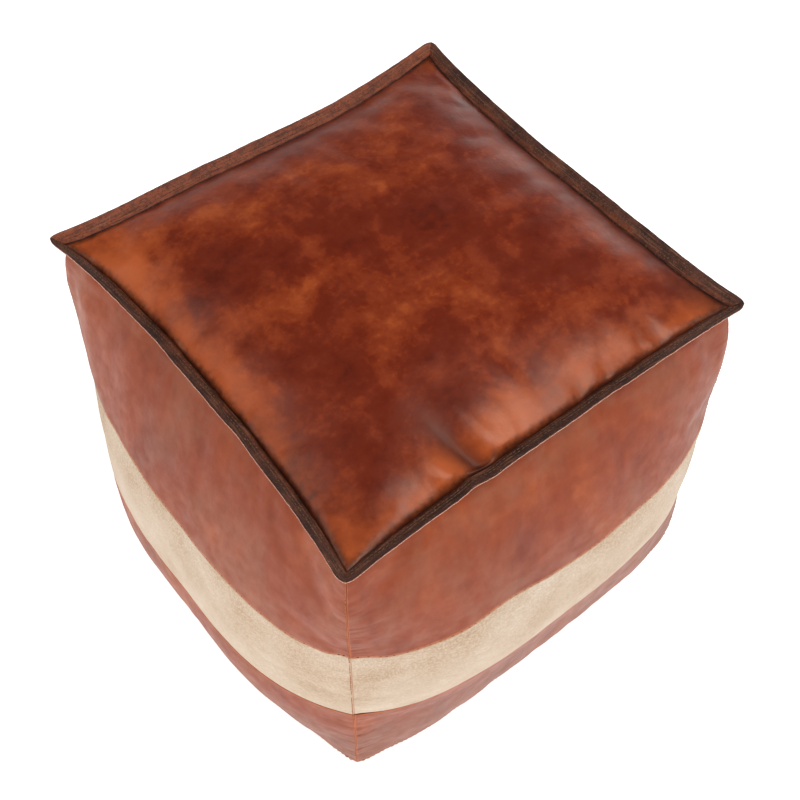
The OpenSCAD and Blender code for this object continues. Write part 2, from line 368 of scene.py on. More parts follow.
def side_leather():
    """Satin, with soft upright streaks, a painted sheen in upright streaks and in level ones near its seams,
    a bright edge along its seams, and a thin painted shadow in each seam.
    """
    paint = Paint("satin_leather")
    seam = paint.attribute("seam")
    wide = paint.noise(110, 4, 0.55, 0.6)
    small = paint.noise(16, 6, 0.62)
    streak = paint.noise(38, 4, 0.55, 0.4, paint.stretch((1, 1, 0.35)))
    colour = paint.ramp(
        paint.blend((wide, 0.5), (streak, 0.5)),
        (0.34, tint(134, 48, 17)),
        (0.5, tint(156, 65, 25)),
        (0.66, tint(176, 82, 35)),
    )
    colour = paint.mix(paint.span(small, 0.35, 0.7, 0.0, 0.25), colour, tint(108, 38, 18))
    # Painted sheen in soft upright streaks
    painted_sheen = paint.noise(60, 4, 0.55, 0.5, paint.stretch((1, 1, 0.45)))
    colour = paint.mix(paint.span(painted_sheen, 0.46, 0.68, 0.0, 0.3), colour, tint(158, 106, 80))
    level = paint.noise(30, 2, 0.5, 0.2, paint.stretch((1, 1, 2.4)))
    # Painted sheen in level streaks near the seams
    drawn = paint.math("MULTIPLY", paint.span(level, 0.4, 0.78, 0.0, 0.3), paint.span(seam, 60, 8))
    colour = paint.mix(drawn, colour, tint(160, 108, 84))
    colour = paint.mix(paint.span(paint.height(), 0.13, 0.05, 0.0, 0.45), colour, tint(150, 112, 96))
    bright = paint.span(paint.ragged(seam, paint.noise(9, 3), 3), 3.8, 1.8, 0.0, 0.7)
    colour = paint.mix(bright, colour, tint(200, 104, 52))
    # A thin painted shadow in the seam
    colour = paint.mix(paint.span(seam, 0.8, 0.3, 0.0, 0.7), colour, tint(84, 36, 20))
    return paint.look(
        Base_Color=colour, Roughness=paint.span(small, 0.3, 0.7, 0.42, 0.56),
        Specular_IOR_Level=0.42, Specular_Tint=(1.0, 0.84, 0.74), Normal=pores(paint, 0.8),
    )


def raw_edge():
    paint = Paint("cut_leather_edge")
    fibres = paint.noise(2.0, 5, 0.7)
    return paint.look(
        Base_Color=paint.ramp(fibres, (0.35, tint(196, 126, 104)), (0.65, tint(246, 196, 174))),
        Roughness=0.85, Normal=paint.bump(fibres, 0.3, 0.8),
    )


def suede():
    """Pale, with a brushed nap whose low spots are dusty in the stripe's upper part."""
    paint = Paint("sand_suede")
    nap = paint.noise(2.2, 5, 0.75)
    lie = paint.noise(7, 5, 0.65, 0.5, paint.stretch((1, 1, 2.6)))
    wide = paint.noise(70, 4, 0.5)
    seam = paint.attribute("seam")
    colour = paint.ramp(
        paint.blend((wide, 0.5), (lie, 0.5)),
        (0.34, tint(206, 180, 151)),
        (0.52, tint(221, 200, 176)),
        (0.68, tint(233, 217, 199)),
    )
    high = paint.span(paint.height(), 0.17, 0.27, 0.35, 1.0)
    dusty = paint.math("MULTIPLY", high, paint.span(wide, 0.35, 0.6, 1.0, 0.5))
    dots = paint.math("MULTIPLY", paint.span(nap, 0.58, 0.42, 0.0, 0.75), dusty)
    colour = paint.mix(dots, colour, tint(176, 134, 92))
    colour = paint.mix(paint.span(seam, 2.4, 0.6, 0.0, 0.75), colour, tint(206, 142, 104))
    return paint.look(
        Base_Color=colour, Roughness=0.92, Specular_IOR_Level=0.2, Sheen_Weight=0.2,
        Sheen_Roughness=0.5, Normal=paint.bump(nap, 0.3, 0.7, paint.bump(lie, 0.5, 0.5)),
    )


def base_leather():
    paint = Paint("base_hide")
    cloud = paint.noise(45, 6, 0.6, 0.5)
    colour = paint.ramp(cloud, (0.32, tint(62, 32, 22)), (0.55, tint(92, 50, 35)), (0.7, tint(116, 68, 48)))
    return paint.look(
        Base_Color=colour, Roughness=paint.span(paint.noise(9, 5), 0.3, 0.7, 0.5, 0.72),
        Normal=pores(paint, 1.6),
    )


def yarn(name, dark, light, size_mm=0.9):
    paint = Paint(name)
    twist = paint.noise(size_mm, 3, 0.6)
    return paint.look(
        Base_Color=paint.ramp(twist, (0.35, dark), (0.65, light)), Roughness=0.75,
        Normal=paint.bump(twist, 0.2, 0.7),
    )


def woven(name, dark, light, step_mm):
    """A plain weave: two crossed wave patterns, over soft lumps."""
    paint = Paint(name)
    waves = []
    for direction in ("X", "Y"):
        waves.append(paint.node(
            "TexWave", "Fac", Vector=paint.place, bands_direction=direction,
            Scale=WAVES_TO_MM / step_mm, Distortion=0.3,
        ))
    cloth = paint.math("MULTIPLY", waves[0], waves[1])
    return paint.look(
        Base_Color=paint.ramp(cloth, (0.1, dark), (0.7, light)), Roughness=0.8,
        Normal=paint.bump(cloth, 0.2, 0.8, paint.bump(paint.noise(30, 3), 0.5, 0.4)),
    )


def brass():
    paint = Paint("aged_brass")
    wear = paint.noise(3.5, 5, 0.65)
    dull, clean, bright = tint(128, 96, 52), tint(190, 152, 92), tint(214, 184, 128)
    return paint.look(
        Base_Color=paint.ramp(wear, (0.35, dull), (0.6, clean), (0.75, bright)), Metallic=1.0,
        Roughness=paint.span(wear, 0.3, 0.7, 0.46, 0.24),
        Normal=paint.bump(paint.noise(1.2, 4), 0.05, 0.6),
    )


def nylon():
    paint = Paint("zip_nylon")
    teeth = paint.node(
        "TexWave", "Fac", Vector=paint.place, bands_direction="X", Scale=WAVES_TO_MM / 1.5,
    )
    return paint.look(
        Base_Color=paint.ramp(teeth, (0.2, tint(22, 14, 11)), (0.6, tint(74, 50, 40))),
        Roughness=0.4, Normal=paint.bump(teeth, 0.6, 1.0),
    )


# ---- random fields and curves

def smooth(t):
    t = np.clip(t, 0, 1)
    return t * t * (3 - 2 * t)


def field(seed, x, y, size=128):
    """A smooth random surface, from -1 to 1, with one bump per unit, the same each run."""
    table = np.random.default_rng(seed).uniform(-1, 1, (size, size))
    x, y = np.broadcast_arrays(np.asarray(x, float) + size / 2, np.asarray(y, float) + size / 2)
    i, j = np.floor(x).astype(int), np.floor(y).astype(int)
    s, t = smooth(x - i), smooth(y - j)
    i0, i1, j0, j1 = i % size, (i + 1) % size, j % size, (j + 1) % size
    low = table[i0, j0] * (1 - s) + table[i1, j0] * s
    high = table[i0, j1] * (1 - s) + table[i1, j1] * s
    return low * (1 - t) + high * t


def hump(x, middle, width):
    """1 at the middle, and nearly 0 from twice the width away."""
    return np.exp(-(((x - middle) / width) ** 2))


def finer_ends(low, high, step):
    """Places from low to high, a step apart, and closer together at both ends."""
    ends = (0.35, 0.8, 1.4, 2.2, 3.2, 4.6, 6.4)
    last = ends[-1]
    count = max(2, round((high - low - 2 * last) / step))
    middle = np.linspace(low + last, high - last, count + 1)
    near = [low, *(low + e for e in ends[:-1])]
    far = [*(high - e for e in reversed(ends[:-1])), high]
    return np.array([*near, *middle, *far])


# ---- the cover's surface

def rise(z):
    return z / SEAM


def corner_half(z):
    """Half the width of the cover at its corners."""
    r = rise(z)
    tuck = CORNER - 6 - CREASE
    return CORNER - 6 * r ** 2 - tuck * r ** 12


def swell(k, z):
    """How far the middle of side k stands out past its corners."""
    r = np.clip(rise(z), 0, 1)
    even = 16.5 * (1 - r) ** 2 + 49.5 * np.sin(np.pi * r ** 0.92) ** 0.65
    return even + BELLY[k] * hump(z, 80, 66) + FOOT[k] * hump(z, 0, 26)


def pull(k, x):
    """How far the rim seam of side k is drawn in at a place along it."""
    t = x / CREASE
    arch = np.clip(1 - t ** 2, 0, 1)
    if k == FRONT:
        return 1.5 * arch
    if k == RIGHT:
        return 6.2 * arch + 2.0 * np.sin(np.pi * t) * arch + 4.0 * (1 - t ** 12)
    if k == BACK:
        return 7.8 * arch - 5.2 * np.sin(np.pi * t) * arch ** 0.5 + 2.0 * (1 - t ** 12)
    return 10.5 * arch ** 0.9


def kink(k, x):
    """Short tucks of the rim seam, where a fold of the top runs into it."""
    if k == FRONT:
        return 1.7 * hump(x, -88, 11) - 0.8 * hump(x, -66, 11) + 0.8 * hump(x, 58, 20)
    if k == LEFT:
        return 1.2 * hump(x, 60, 16) + 1.0 * hump(x, -70, 24)
    return 0.8 * hump(x, 40, 18) + 0.8 * hump(x, -80, 15)


def ear(k, share, z):
    """How far a corner of the cover is drawn out past the square, near its ends."""
    high = smooth((z - 230) / 170)
    low = hump(z, 150, 60)
    following = (k + 1) % 4
    at_left, at_right = np.clip(-share, 0, 1) ** 5, np.clip(share, 0, 1) ** 5
    left = EAR[k] * high + LOW_EAR[k] * low
    right = EAR[following] * high + LOW_EAR[following] * low
    return at_left * left + at_right * right


def to_world(k, x, d, z):
    """A point of side k, x to the right along it and d out from the middle."""
    x, d, z = np.broadcast_arrays(x, d, z)
    plan = ((x, -d), (d, x), (-x, d), (-d, -x))[k]
    return np.stack([plan[0], plan[1], z], -1)


def edge_roll(distance):
    """How far a panel's edge rolls in to its seam."""
    t = np.clip(1 - distance / ROLL_RADIUS, 0, 1)
    return ROLL_DEPTH * (1 - np.sqrt(np.clip(1 - t ** 2, 0, 1)))


def pinches(seed, along, away, height, reach):
    """Thin creases that run away from a seam, each with its own length."""
    line = field(seed, along / 5.5, away / 34)
    fold = field(seed + 1, along / 11, away / 46)
    depth = 0.6 * hump(line, 0, 0.22) + 0.4 * fold
    how_much = 0.35 + 0.65 * smooth(field(seed + 2, along / 45, 0.5) + 0.6)
    return -height * depth * how_much * np.exp(-away / reach) * (1 - np.exp(-away / 1.2))


def side_detail(k, x, z, corner_gap):
    """Heights of the side's soft folds, streaks and creases, in millimetres."""
    seed = 100 + 20 * k
    under_rim = smooth((z - 250) / 170)
    streaks = field(seed, x / 46 + z / 300, z / 210) * (0.7 + 1.3 * under_rim)
    lumps = 1.6 * field(seed + 1, x / 95, z / 80)
    fine = 0.22 * field(seed + 2, x / 16, z / 30)
    body = (streaks + lumps + fine) * smooth(corner_gap / 30)
    corner = pinches(seed + 5 + 7 * (x > 0), z, corner_gap, 1.5, 15) * (1 + 0.8 * smooth((150 - z) / 80))
    high = np.abs(z - STRIPE_HIGH)
    low = np.abs(z - STRIPE_LOW)
    seams = pinches(seed + 30, x, high, 0.35, 6) + pinches(seed + 33, x, low, 0.35, 6)
    rim = pinches(seed + 36, x * 0.6, np.clip(SEAM - z, 0, None), 1.6, 16)
    bottom = pinches(seed + 39, x * 0.7, np.clip(z - BASE_TOP, 0, None), 0.8, 14)
    return body + corner + seams + rim * smooth(corner_gap / 20) + bottom


def seam_drift(k, share, z):
    """How far the stripe's seams wander up from their straight lines."""
    low = -4.0
    if k == FRONT:
        high = 8 * hump(share, -1, 0.13) + 12 * hump(share, -0.36, 0.18) - 4 * hump(share, 0.08, 0.15)
        low = low + 9 * hump(share, -0.47, 0.14) + 4 * hump(share, 0.5, 0.2)
    elif k == LEFT:
        high = 8 * hump(share, 1, 0.07) + 12 * hump(share, -0.5, 0.25) - 4 * hump(share, 0.8, 0.1)
        low = low + 4 * hump(share, -0.5, 0.2)
    else:
        high = 4 * field(60 + k, share * 2.2, 0.5) * (1 - share ** 4)
    return high * hump(z, STRIPE_HIGH, 55) + low * hump(z, STRIPE_LOW, 50)


def side_surface(k, x_share, z, out=0.0, plain=False):
    """Points of side k, x_share from -1 to 1 across it, z up it, out past the surface.
    A plain side has no folds and no rolled edges."""
    level = z
    z = z + seam_drift(k, x_share, z)
    half = corner_half(z)
    x = x_share * half
    d = half + swell(k, z) * (1 - np.abs(x_share) ** SQUARENESS)
    d = d - pull(k, x) * smooth((z - 240) / (SEAM - 240))
    d = d - kink(k, x) * np.exp(-np.clip(SEAM - z, 0, None) / 22)
    gap = (1 - np.abs(x_share)) * half
    roll = 0 * gap if plain else edge_roll(gap)
    drawn_out = ear(k, x_share, z) - roll * 0.7
    x = x + np.sign(x_share) * drawn_out
    d = d + drawn_out
    points = to_world(k, x, d, z)
    if not plain:
        along = np.gradient(points, axis=1)
        up = np.gradient(points, axis=0)
        normal = np.cross(along, up)
        normal /= np.linalg.norm(normal, axis=-1, keepdims=True)
        corner = smooth(gap / 2.5)[..., None]
        # At a corner, both of its sides move along its diagonal, so that they still meet.
        flat = to_world(k, np.sign(x_share) * DIAGONAL, DIAGONAL, 0.0 * x)
        normal = normal * corner + flat * (1 - corner)
        lift = side_detail(k, x, level, gap) + out
        points = points + normal * lift[..., None]
        points = points + cloth_detail(SIDES[k], rise(z), (x_share + 1) / 2)
    return points


# ---- inflated cover

CLOTH_CELLS = 54
CLOTH_FRAMES = 20
CLOTH_LIMIT = 6.0
CLOTH = {}


def blurred(grid, times):
    """A grid of values with its detail smoothed away; its border stays put."""
    for _ in range(times):
        middle = grid[1:-1, 1:-1]
        around = grid[:-2, 1:-1] + grid[2:, 1:-1] + grid[1:-1, :-2] + grid[1:-1, 2:]
        grid = grid.copy()
        grid[1:-1, 1:-1] = 0.5 * middle + 0.125 * around
    return grid


def cloth_detail(panel, row, column):
    """The wrinkles of one panel of the inflated cover, at shares of its height and width,
    as a cubic spline over the panel's grid."""
    if panel not in CLOTH:
        return 0.0
    grid = CLOTH[panel]
    total = 0.0
    places = []
    for share, count in ((row, grid.shape[0]), (column, grid.shape[1])):
        at = np.clip(share, 0, 1) * (count - 1)
        base = np.floor(at).astype(int)
        t = at - base
        inner = 3 * t ** 3 - 6 * t ** 2 + 4, 1 + 3 * t + 3 * t ** 2 - 3 * t ** 3
        weights = ((1 - t) ** 3, *inner, t ** 3)
        places.append([(np.clip(base + n - 1, 0, count - 1), w / 6) for n, w in enumerate(weights)])
    for i, row_weight in places[0]:
        for j, column_weight in places[1]:
            total = total + grid[i, j] * (row_weight * column_weight)[..., None]
    return total


def inflate():
    """Inflate the cover as cloth that is held along its seams and a little too big for
    them, and keep the wrinkles that this makes in each panel but the base."""
    share = np.linspace(-1, 1, CLOTH_CELLS + 1)
    across, height = np.meshgrid(share, np.linspace(0, SEAM, CLOTH_CELLS - 4))
    panels = {side: side_surface(k, across, height, plain=True) for k, side in enumerate(SIDES)}
    x, y = np.meshgrid(share * CREASE, share * CREASE)
    px, py = top_place(x, y)
    panels["top"] = np.stack([px, py, SEAM + top_height(x, y, plain=True)], -1)
    rows = np.linspace(0, 1, CLOTH_CELLS + 1)[:, None, None]
    panels["base"] = panels["front"][0] * (1 - rows) + panels["back"][0][::-1] * rows

    points, quads, held, start = [], [], [], 0
    for name, grid in panels.items():
        edge = np.ones(grid.shape[:2])
        edge[1:-1, 1:-1] = 1.0 if name == "base" else 0.0
        points.append(grid.reshape(-1, 3))
        held.append(edge.ravel())
        quads.append(grid_quads(*grid.shape[:2], start, flip=name == "base"))
        start += edge.size
    points, quads, held = np.concatenate(points), np.concatenate(quads), np.concatenate(held)
    _, first, same = np.unique(np.round(points, 2), axis=0, return_index=True, return_inverse=True)
    same = same.ravel()
    weight = np.zeros(len(first))
    np.maximum.at(weight, same, held)

    mesh = bpy.data.meshes.new("inflating")
    mesh.from_pydata((points[first] * MM).tolist(), [], same[quads].tolist())
    mesh.update()
    thing = bpy.data.objects.new("inflating", mesh)
    bpy.context.scene.collection.objects.link(thing)
    pins = thing.vertex_groups.new(name="held")
    pins.add([int(i) for i in np.flatnonzero(weight > 0.5)], 1.0, "REPLACE")
    cloth = thing.modifiers.new("cloth", "CLOTH")
    settings = cloth.settings
    settings.quality = 5
    settings.mass = 0.4
    settings.tension_stiffness = settings.compression_stiffness = 12
    settings.shear_stiffness = 8
    settings.bending_stiffness = 1.2
    settings.use_pressure = True
    settings.uniform_pressure_force = 4
    settings.shrink_min = -0.025
    settings.vertex_group_mass = "held"
    settings.effector_weights.gravity = 0
    cloth.collision_settings.use_collision = False
    scene = bpy.context.scene
    scene.frame_start, scene.frame_end = 1, CLOTH_FRAMES
    for frame_number in range(1, CLOTH_FRAMES + 1):
        scene.frame_set(frame_number)
    shaped = thing.evaluated_get(bpy.context.evaluated_depsgraph_get()).to_mesh()
    moved = np.zeros(len(first) * 3, np.float32)
    shaped.vertices.foreach_get("co", moved)
    moved = moved.reshape(-1, 3)[same] / MM - points
    bpy.data.objects.remove(thing)
    scene.frame_set(1)

    start = 0
    for name, grid in panels.items():
        size = grid.shape[0] * grid.shape[1]
        shift = moved[start:start + size].reshape(grid.shape)
        start += size
        detail = shift - blurred(shift, 40)
        kept = 0.4 if name == "top" else 0.5
        if name != "base":
            CLOTH[name] = kept * CLOTH_LIMIT * np.tanh(detail / CLOTH_LIMIT)


def rim_lift(t):
    """How far the rim tips up, t out from its seam."""
    return 8.5 * np.clip(t / RIM_WIDTH, 0, 1.1) ** 1.05


def rim_point(k, share, t, z, wander=0.0):
    """A point of the rim of side k, t out from the rim seam."""
    reach = RIM_REACH + wander
    straight = reach - RIM_CORNER
    x = share * reach
    turn = np.radians(45 * np.clip(np.abs(x) - straight, 0, None) / RIM_CORNER)
    outer_x = np.clip(x, -straight, straight) + RIM_CORNER * np.sign(x) * np.sin(turn)
    outer_d = straight + RIM_CORNER * np.cos(turn)
    drawn = pull(k, share * CREASE) + kink(k, share * CREASE)
    part = t / RIM_WIDTH
    drawn_out = ear(k, share, SEAM)
    return to_world(
        k,
        share * CREASE * (1 - part) + outer_x * part + np.sign(share) * drawn_out,
        CREASE * (1 - part) + outer_d * part - drawn + drawn_out,
        z,
    )


# ---- meshes

def grid_quads(rows, columns, start=0, flip=False):
    index = start + np.arange(rows * columns).reshape(rows, columns)
    a, b, c, d = index[:-1, :-1], index[:-1, 1:], index[1:, 1:], index[1:, :-1]
    quads = np.stack([a, d, c, b] if flip else [a, b, c, d], -1)
    return quads.reshape(-1, 4)


def border_quads(index, other):
    """Quads between the borders of two grids of the same size."""
    def ring(i):
        return np.concatenate([i[0, :-1], i[:-1, -1], i[-1, :0:-1], i[:0:-1, 0]])
    a, b = ring(index), ring(other)
    return np.stack([a, b, np.roll(b, -1), np.roll(a, -1)], -1)


def make_piece(name, points, faces, materials, face_material=None, attributes=None, sharp=50):
    mesh = bpy.data.meshes.new(name)
    faces = faces.tolist() if isinstance(faces, np.ndarray) else faces
    mesh.from_pydata((points * MM).tolist(), [], faces)
    for key, values in (attributes or {}).items():
        values = np.asarray(values, np.float32).ravel()
        mesh.attributes.new(key, "FLOAT", "POINT").data.foreach_set("value", values)
    for material in materials:
        mesh.materials.append(material)
    if face_material is not None:
        mesh.polygons.foreach_set("material_index", np.asarray(face_material, np.int32))
    mesh.shade_smooth()
    mesh.set_sharp_from_angle(angle=math.radians(sharp))
    mesh.update()
    thing = bpy.data.objects.new(name, mesh)
    bpy.context.scene.collection.objects.link(thing)
    return thing


def finish_piece(piece, node):
    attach(piece, "pouf")
    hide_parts(node)


def sheet_piece(name, outer, inner, materials, face_material=None, attributes=None):
    """A closed sheet between two grids of points of the same size."""
    rows, columns = outer.shape[:2]
    count = rows * columns
    index = np.arange(count).reshape(rows, columns)
    faces = np.concatenate([
        grid_quads(rows, columns),
        grid_quads(rows, columns, count, flip=True),
        border_quads(index, index + count),
    ])
    points = np.concatenate([outer.reshape(-1, 3), inner.reshape(-1, 3)])
    both = {key: np.concatenate([v.ravel(), v.ravel()]) for key, v in (attributes or {}).items()}
    return make_piece(name, points, faces, materials, face_material, both)


def side_panel(k, low, high):
    """Outer and inner faces of the side's leather between two seams, and the distance of
    each point from the nearest seam. A corner seam counts as nearer than it is."""
    z = finer_ends(low, high, 2.0)
    x = finer_ends(-CORNER, CORNER, 3.2) / CORNER
    share, height = np.meshgrid(x, z)
    near = np.minimum(height - low, high - height)
    roll = edge_roll(near)
    outer = side_surface(k, share, height, -roll)
    inner = side_surface(k, share, height, -roll - LEATHER)
    gap = (1 - np.abs(share)) * CORNER
    return outer, inner, np.minimum(near, 0.6 + 2.5 * gap)


def make_bands(leather, raw, sand):
    """The sides. An upper band runs on past the rim seam as the rim's lower layer."""
    for k, side in enumerate(SIDES):
        outer, inner, seam = side_panel(k, BASE_TOP, STRIPE_LOW)
        piece = sheet_piece("lower_band_" + side + "_leather", outer, inner, [leather], None, {"seam": seam})
        finish_piece(piece, "lower_band_" + side)

        outer, inner, seam = side_panel(k, STRIPE_LOW, STRIPE_HIGH)
        piece = sheet_piece("stripe_" + side + "_suede", outer, inner, [sand], None, {"seam": seam})
        finish_piece(piece, "stripe_" + side)

        outer, inner, seam = side_panel(k, STRIPE_HIGH, SEAM)
        share = finer_ends(-CORNER, CORNER, 3.2) / CORNER
        ragged = 0.35 * field(70 + k, share * 60, 0.5) + 0.2 * field(80 + k, share * 160, 0.5)
        places = (1.0, 2.5, 5.0, 8.0, 11.0, 13.2, 14.3)
        below, above = [outer], [inner]
        for t in places:
            pinch = 0.7 * math.exp(-t / 2.5)
            low_z = RIM_MID - LEATHER + rim_lift(t) - pinch + 0.9 * smooth((t - 12) / 2)
            high_z = RIM_MID + rim_lift(t) - pinch - 0.3 * smooth((t - 13) / 1.5)
            wander = ragged * smooth((t - 6) / 6)
            below.append(rim_point(k, share, t, low_z, wander)[None])
            above.append(rim_point(k, share, t - 0.2, high_z, wander)[None])
        outer, inner = np.concatenate(below), np.concatenate(above)
        seam = np.concatenate([seam, np.full((len(places), len(share)), 9.0)])
        rows, columns = outer.shape[:2]
        # The quads between the two faces' borders come last, and a third run of them is cut edge.
        faces = 2 * (rows - 1) * (columns - 1)
        kinds = np.zeros(faces + 2 * (rows - 1) + 2 * (columns - 1), int)
        cut = faces + (columns - 1) + (rows - 1)
        kinds[cut:cut + columns - 1] = 1
        name = "upper_band_" + side + "_leather"
        piece = sheet_piece(name, outer, inner, [leather, raw], kinds, {"seam": seam})
        finish_piece(piece, "upper_band_" + side)


def crease(x, y, start, end, width):
    """A crease from its thin start to its deep end: 1 along its bottom, 0 far off it."""
    along = np.subtract(end, start).astype(float)
    length = np.hypot(*along)
    along /= length
    t = np.clip(((x - start[0]) * along[0] + (y - start[1]) * along[1]) / length, -0.4, 1)
    across = (x - start[0]) * -along[1] + (y - start[1]) * along[0]
    across = across + 0.05 * length * np.sin(2.6 * t)
    return smooth((t + 0.4) / 1.2) * np.exp(-(np.abs(across) / (width * (1.5 - 0.6 * smooth(t)))) ** 1.7)


def top_height(x, y, plain=False):
    """Height of the padded top over its rim seam, with its folds unless it is plain."""
    a = np.clip(np.abs(x) / CREASE, 0, 1)
    b = np.clip(np.abs(y) / CREASE, 0, 1)
    inside = (1 - a ** 3.4) * (1 - b ** 3.4)
    dome = DOME * inside ** 0.7
    if plain:
        return dome
    edge = np.minimum(CREASE - np.abs(x), CREASE - np.abs(y))
    away = smooth(edge / 18)
    lumps = 1.7 * field(11, x / 85, y / 85) + 0.5 * field(12, x / 33, y / 33)

    # Each fold's thin start, its deep end at the rim seam, its depth and its width
    folds = 0.0
    for start, end, depth, width in (
        ((-90, -152), (-67, -226), 7.0, 13),
        ((-58, -165), (-42, -222), -2.4, 13),
        ((-118, -176), (-100, -222), -2.4, 12),
        ((52, -190), (45, -228), 1.8, 6),
        ((90, -190), (76, -226), 1.8, 6),
        ((140, -182), (150, -226), 1.6, 12),
        ((-170, 40), (-226, 52), 1.8, 15),
        ((-175, -60), (-226, -72), 1.5, 14),
        ((-20, 182), (-30, 226), 1.6, 14),
        ((120, 186), (112, 226), 1.2, 12),
        ((178, 60), (226, 70), 1.8, 13),
        ((180, -90), (226, -84), 1.4, 12),
    ):
        folds = folds - depth * crease(x, y, start, end, width)
    tucks = 0.0
    for k, along, out in ((FRONT, x, -y), (RIGHT, y, x), (BACK, -x, y), (LEFT, -y, -x)):
        tucks = tucks + pinches(300 + 10 * k, along * 0.7, np.clip(CREASE - out, 0, None), 1.5, 15)
    return dome + away * lumps + folds * smooth(inside * 12) + tucks


def top_place(x, y):
    """Where a point of the top goes once its rim seams are drawn in."""
    moved = [x.copy(), y.copy()]
    for k, along, out, axis, sign in (
        (FRONT, x, -y, 1, 1), (RIGHT, y, x, 0, -1), (BACK, -x, y, 1, -1), (LEFT, -y, -x, 0, 1),
    ):
        share = np.clip(out / CREASE, 0, 1)
        drawn = pull(k, along) * share ** 4 + kink(k, along) * np.exp(-(CREASE - out) / 9)
        moved[axis] = moved[axis] + sign * drawn
        drawn_out = ear(k, along / CREASE, SEAM) * np.clip(out / CREASE, 0, 1) ** 5
        # Both sides of a corner add a part of its ear, and this adds each once.
        moved[axis] = moved[axis] - sign * drawn_out
    return moved


def top_wear_and_highlight(x, y):
    """How worn the top's leather is, with painted highlight, most near its left and front edges; the patches
    by the front fold are painted highlights on its ridges.
    """
    wear_and_highlight = 0.68 * hump(x, -222, 34) * (0.5 + 0.5 * smooth((y + 200) / 90))
    wear_and_highlight = wear_and_highlight + 0.56 * hump(y, -224, 38) + 0.25 * hump(x, -190, 55) * hump(y, 160, 50)
    # Painted highlights on the ridges beside the front fold
    for a, b, strength, wide, deep in (
        (-100, -205, 0.6, 18, 20), (-36, -196, 0.5, 34, 20),
        (52, -206, 0.4, 15, 16), (104, -200, 0.3, 26, 18),
    ):
        wear_and_highlight = wear_and_highlight + strength * hump(x, a, wide) * hump(y, b, deep)
    return wear_and_highlight + 0.18 * hump(x, -150, 60) * hump(y, 40, 60)


def top_painted_shade(x, y):
    """Painted shade on the top: by its right and back edges and in its deep folds."""
    shade = 0.6 * hump(x, 214, 17) * smooth((150 - y) / 90)
    shade = shade + 0.3 * hump(y, 214, 12) * smooth((x + 150) / 60)
    shade = shade + 0.85 * crease(x, y, (-92, -158), (-72, -224), 9)
    return shade + 0.25 * crease(x, y, (52, -196), (45, -226), 4)


def make_top(leather, rim):
    """The top, which runs on past the rim seam as the rim's upper layer."""
    line = finer_ends(-CREASE, CREASE, 3.0)
    size = len(line)
    x, y = np.meshgrid(line, line)
    edge = np.minimum(CREASE - np.abs(x), CREASE - np.abs(y))
    seam_dip = np.exp(-edge / 1.6)
    px, py = top_place(x, y)
    z = RIM_MID + LEATHER + top_height(x, y) - seam_dip
    wrinkles = cloth_detail("top", (y / CREASE + 1) / 2, (x / CREASE + 1) / 2)
    index = np.arange(size * size).reshape(size, size)
    loop = np.concatenate([index[0, :-1], index[:-1, -1], index[-1, :0:-1], index[:0:-1, 0]])

    places = (0.6, 1.4, 2.4, 3.4, 4.5, 5.6, 6.7, 7.6, 8.6, 10.0, 11.6, 12.8, 13.5, 13.8)
    share = line[:-1] / CREASE
    rings, rims = [], []
    for t in places:
        press = 0.35 * sum(hump(t, row, 0.9) for row in ROWS)
        drop = 0.9 * smooth((t - 12.6) / 1.4) ** 2
        height = RIM_MID + LEATHER + rim_lift(t) - math.exp(-t / 1.6) - press - drop
        sides = []
        for k in range(4):
            waves = 0.25 * field(400 + k, share * 24, t / 9)
            wander = 0.3 * field(90 + k, share * 50, 0.5)
            sides.append(rim_point(k, share, t, height + waves, wander))
        rings.append(np.concatenate(sides))
        rims.append(np.full(4 * (size - 1), -t))
    middle = np.stack([px, py, z], -1) + wrinkles
    top = np.concatenate([middle.reshape(-1, 3), *rings])
    count = len(top)
    edges = np.concatenate([edge.ravel(), *rims])
    rim_worn = np.repeat([0.0, 0.05, 0.6, 0.0], size - 1)
    # Painted shade on the rims, darkest on the near sides
    rim_painted_shade = np.repeat([0.6, 0.25, 0.0, 0.45], size - 1)
    wear_and_highlight = np.concatenate([top_wear_and_highlight(x, y).ravel(), np.tile(rim_worn, len(places))])
    shade = np.concatenate([top_painted_shade(x, y).ravel(), np.tile(rim_painted_shade, len(places))])
    under = top - np.array([0, 0, LEATHER])
    under[-4 * (size - 1):, 2] += 0.3

    flange = []
    previous = loop
    start = size * size
    for _ in places:
        ring = start + np.arange(4 * (size - 1))
        flange.append(np.stack([previous, ring, np.roll(ring, -1), np.roll(previous, -1)], -1))
        previous = ring
        start += 4 * (size - 1)
    flange = np.concatenate(flange)
    skin = np.concatenate([grid_quads(size, size), flange])
    wall = np.stack([previous, previous + count, np.roll(previous, -1) + count, np.roll(previous, -1)], -1)
    faces = np.concatenate([skin, skin[:, ::-1] + count, wall])
    kinds = np.zeros(len(faces), int)
    inner = (size - 1) ** 2
    kinds[inner:len(skin)] = 1
    kinds[len(skin) + inner:] = 1
    piece = make_piece(
        "top_panel_leather", np.concatenate([top, under]), faces, [leather, rim], kinds,
        {"edge": np.tile(edges, 2), "wear_and_highlight": np.tile(wear_and_highlight, 2), "shade": np.tile(shade, 2)},
    )
    finish_piece(piece, "top_panel")


def off_channel(points, recess_half):
    """How far points lie outside the channel's floor."""
    far = np.clip(np.abs(points[..., 0]) - recess_half, 0, None)
    return np.hypot(far, points[..., 1]) - RECESS_RADIUS


def base_outline(order):
    """Half of the base's outline, in plan: from the middle of one side to that opposite."""
    rims = []
    for k, (low, high) in zip(order, ((0, 1), (-1, 1), (-1, 0))):
        count = 60 * (high - low)
        share = np.linspace(low, high, count + 1)[:None if high == 0 else -1]
        s, z = np.meshgrid(share, BASE_TOP + np.array([0, 0.5, 1.0]))
        rims.append(side_surface(k, s, z, -edge_roll(0.0) - 0.4)[0])
    outline = np.concatenate(rims)[:, :2]
    outline[[0, -1], 1] = 0
    return outline


